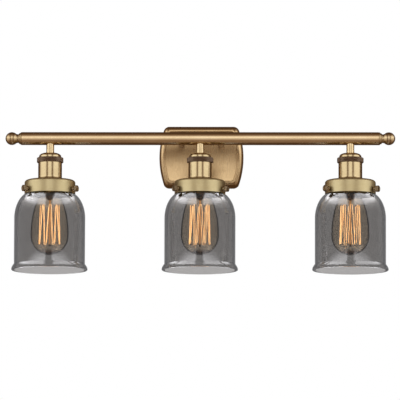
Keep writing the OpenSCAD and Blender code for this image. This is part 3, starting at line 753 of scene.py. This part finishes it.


# Above the shoulder the tint turns much lighter: a painted highlight for the light the shoulders catch,
# over the glass's real smoke tint.
smoke_and_painted_highlight = glass(
    "smoked_glass", (0.405, 0.395, 0.39), (0.075, 0.07, 0.067), 0.66,
    (0.66, 0.645, 0.635), (bar_z - 0.116, bar_z - 0.104),
)
bell_r, glass_wall, lip_r, lip_top, lip_low, bell_neck = 60, 3, 41, -75, -85.6, 38.5
rim_z, rim_h, flare = -222.9, 9.3, 4.4
shoulder_x0, shoulder_z0, shoulder_h = 30, -135.794, 45
shoulder_w = bell_r - shoulder_x0
start_angle = math.degrees(math.acos((bell_neck - shoulder_x0) / shoulder_w))
inner_angle = math.degrees(math.acos((bell_neck - glass_wall - shoulder_x0) / (shoulder_w - glass_wall)))
flare_line = [(flare * math.sin(math.pi / 2 * t / 14), rim_z + rim_h * (1 - t / 14)) for t in range(15)]
bell_profile = (
    [(bell_neck - glass_wall, lip_top + 0.6), (bell_neck - glass_wall + 0.6, lip_top)]
    + arc(lip_r - 1.5, lip_top - 1.5, 1.5, 1.5, 90, 0, 6)
    + arc(lip_r - 1.5, lip_low + 1.5, 1.5, 1.5, 0, -90, 6)
    + arc(shoulder_x0, shoulder_z0, shoulder_w, shoulder_h, start_angle, 0, 40)
    + [(bell_r + x, z) for x, z in flare_line]
    + arc(bell_r + flare - 1.5, rim_z, 1.5, 1.5, -20, -160, 8)
    + [(bell_r - glass_wall + x, z) for x, z in reversed(flare_line)]
    + arc(shoulder_x0, shoulder_z0, shoulder_w - glass_wall, shoulder_h - glass_wall, 0, inner_angle, 40)
)
for side_name in SIDES:
    piece = turned("glass_bell_" + side_name, bell_profile, smoke_and_painted_highlight, lamp_place(side_name), segments=160)
    settle(piece, smoke_and_painted_highlight, "fixture", ["shade_" + side_name], 60)


# ---- Bulbs --------------------------------------------------------------------------------
# Pear-shaped filament bulbs: a rolled screw cap with a soldered contact, a clear envelope and
# a glass stem whose hooks carry the glowing strand up and down.
cap_metal = plated("bulb_cap_metal", (0.74, 0.60, 0.34), 0.24, 0.8)
solder = plated("solder_tin", (0.46, 0.45, 0.44), 0.4, 0.6)
clear = glass(
    "bulb_glass", (1.0, 0.93, 0.83), (0.16, 0.14, 0.13), 0.66,
    (0.24, 0.15, 0.10), (bar_z - 0.189, bar_z - 0.1955),
)
# The stem's flare is painted a near-black umber as painted shade. The rod between the hooks is painted
# amber with an emission, a painted glow standing in for the strand's light.
stem_glass, stem_shader, stem_place = new_material("stem_glass")
haze = stem_place.noise(260, 3)
painted_shade_umber = haze.step(0.35, 0.65).mix((0.030, 0.017, 0.011), (0.085, 0.05, 0.034))
painted_glow_rod = stem_place.axis("Z").step(bar_z - 0.1045, bar_z - 0.1075)
painted_glow_rod = painted_glow_rod * stem_place.axis("Z").step(bar_z - 0.1815, bar_z - 0.1785)
feed(
    stem_shader, Base_Color=painted_glow_rod.mix(painted_shade_umber, (0.42, 0.22, 0.10)), Roughness=haze * 0.2 + 0.12,
    Coat_Weight=0.5, Emission_Color=painted_glow_rod.mix((0, 0, 0), (0.75, 0.40, 0.17)), Emission_Strength=1.0,
)
strand_glow, strand_shader, strand_place = new_material("strand_glow")
heat = strand_place.noise(150, 2)
feed(strand_shader, Base_Color=(0.3, 0.12, 0.03), Roughness=0.6, Emission_Strength=3.8)
feed(strand_shader, Emission_Color=heat.step(0.35, 0.65).mix((0.95, 0.50, 0.19), (1.0, 0.66, 0.34)))
wire_metal = plated("hook_wire", (0.42, 0.33, 0.26), 0.3, 0.7)


def strand_tree():
    """A round strand along a line of points, eased at its bends."""
    start, take = open_tree("strand", Route="Geometry", Radius="Float", Bend="Float", Finish="Material")
    line = start.node("GeometryNodeMeshToCurve", {"Mesh": take["Route"]})
    eased = start.node(
        "GeometryNodeFilletCurve", {"Curve": line, "Radius": take["Bend"], "Count": 4}, mode="POLY"
    )
    ring = start.node(
        "GeometryNodeCurvePrimitiveCircle", {"Resolution": 8, "Radius": take["Radius"]}, mode="RADIUS"
    )
    mesh = start.node(
        "GeometryNodeCurveToMesh", {"Curve": eased, "Profile Curve": ring, "Fill Caps": True}
    )
    return close_tree(start, mesh, take["Finish"])


strand = strand_tree()


def routed(name, route, radius, bend, material):
    """A round wire along a route of points in millimetres."""
    mesh = line_mesh(name, route)
    return grow(name, strand, mesh, Radius=radius * MM, Bend=bend * MM, Finish=material)


bulb_tip, stem_top, rod_r, hook_count = -198.65, -84.15, 1.6, 8
hook_top, hook_top_r = bulb_tip + 84, 16
hook_low, hook_low_r = bulb_tip + 19.5, 18.5
stem_profile = rounded([
    (0, stem_top), (10.5, stem_top), (10.5, stem_top - 9), (9.4, stem_top - 13), (6.4, stem_top - 18),
    (5.4, stem_top - 19.6), (2.6, stem_top - 20.6), (rod_r, stem_top - 23),
    (rod_r, bulb_tip + 16.5), (2.3, bulb_tip + 15.6), (1.6, bulb_tip + 14.6), (0, bulb_tip + 14.5),
], 1.2)
for side_name in SIDES:
    place, body = lamp_place(side_name), "bulb_" + side_name
    finish_nodes(solder, "solder", "bulb_contact_" + side_name)
    finish_nodes(cap_metal, "bright_brass", "bulb_cap_" + side_name)
    finish_nodes(clear, "clear_glass", "bulb_glass_" + side_name)
    piece = turned("glass_stem_" + side_name, stem_profile, stem_glass, place, closed=False, segments=48)
    settle(piece, stem_glass, body, ["bulb_filament_" + side_name])
    step_angle = 2 * math.pi / hook_count
    route, hooks = [], []
    for k in range(hook_count):
        for half, r, z in ((0, hook_top_r, hook_top), (0.5, hook_low_r, hook_low)):
            a = step_angle * (k + half + 0.125)
            out = Vector((math.cos(a), math.sin(a), 0))
            along = Vector((-math.sin(a), math.cos(a), 0)) * 1.7
            level_up = Vector((0, 0, z))
            route += [out * r - along + level_up, out * r + along + level_up]
            rise = Vector((0, 0, -2.5 if half else 2.0))
            bends = [
                (rod_r - 0.3, 1.0), (r - 1.4, 0.2), (r + 0.6, 0.0), (r + 0.7, -0.45),
            ]
            hook = [out * reach + level_up + rise * share for reach, share in bends]
            hooks.append(routed("hook", hook, 0.22, 0.6, wire_metal))
    piece = joined("filament_hooks_" + side_name, *hooks)
    piece.data.transform(place)
    settle(piece, wire_metal, body, [])
    piece = routed("filament_strand_" + side_name, route, 0.45, 0.6, strand_glow)
    piece.data.transform(place)
    settle(piece, strand_glow, body, [])


# ---- Size and end -------------------------------------------------------------------------
# The finished model's box.
low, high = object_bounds()
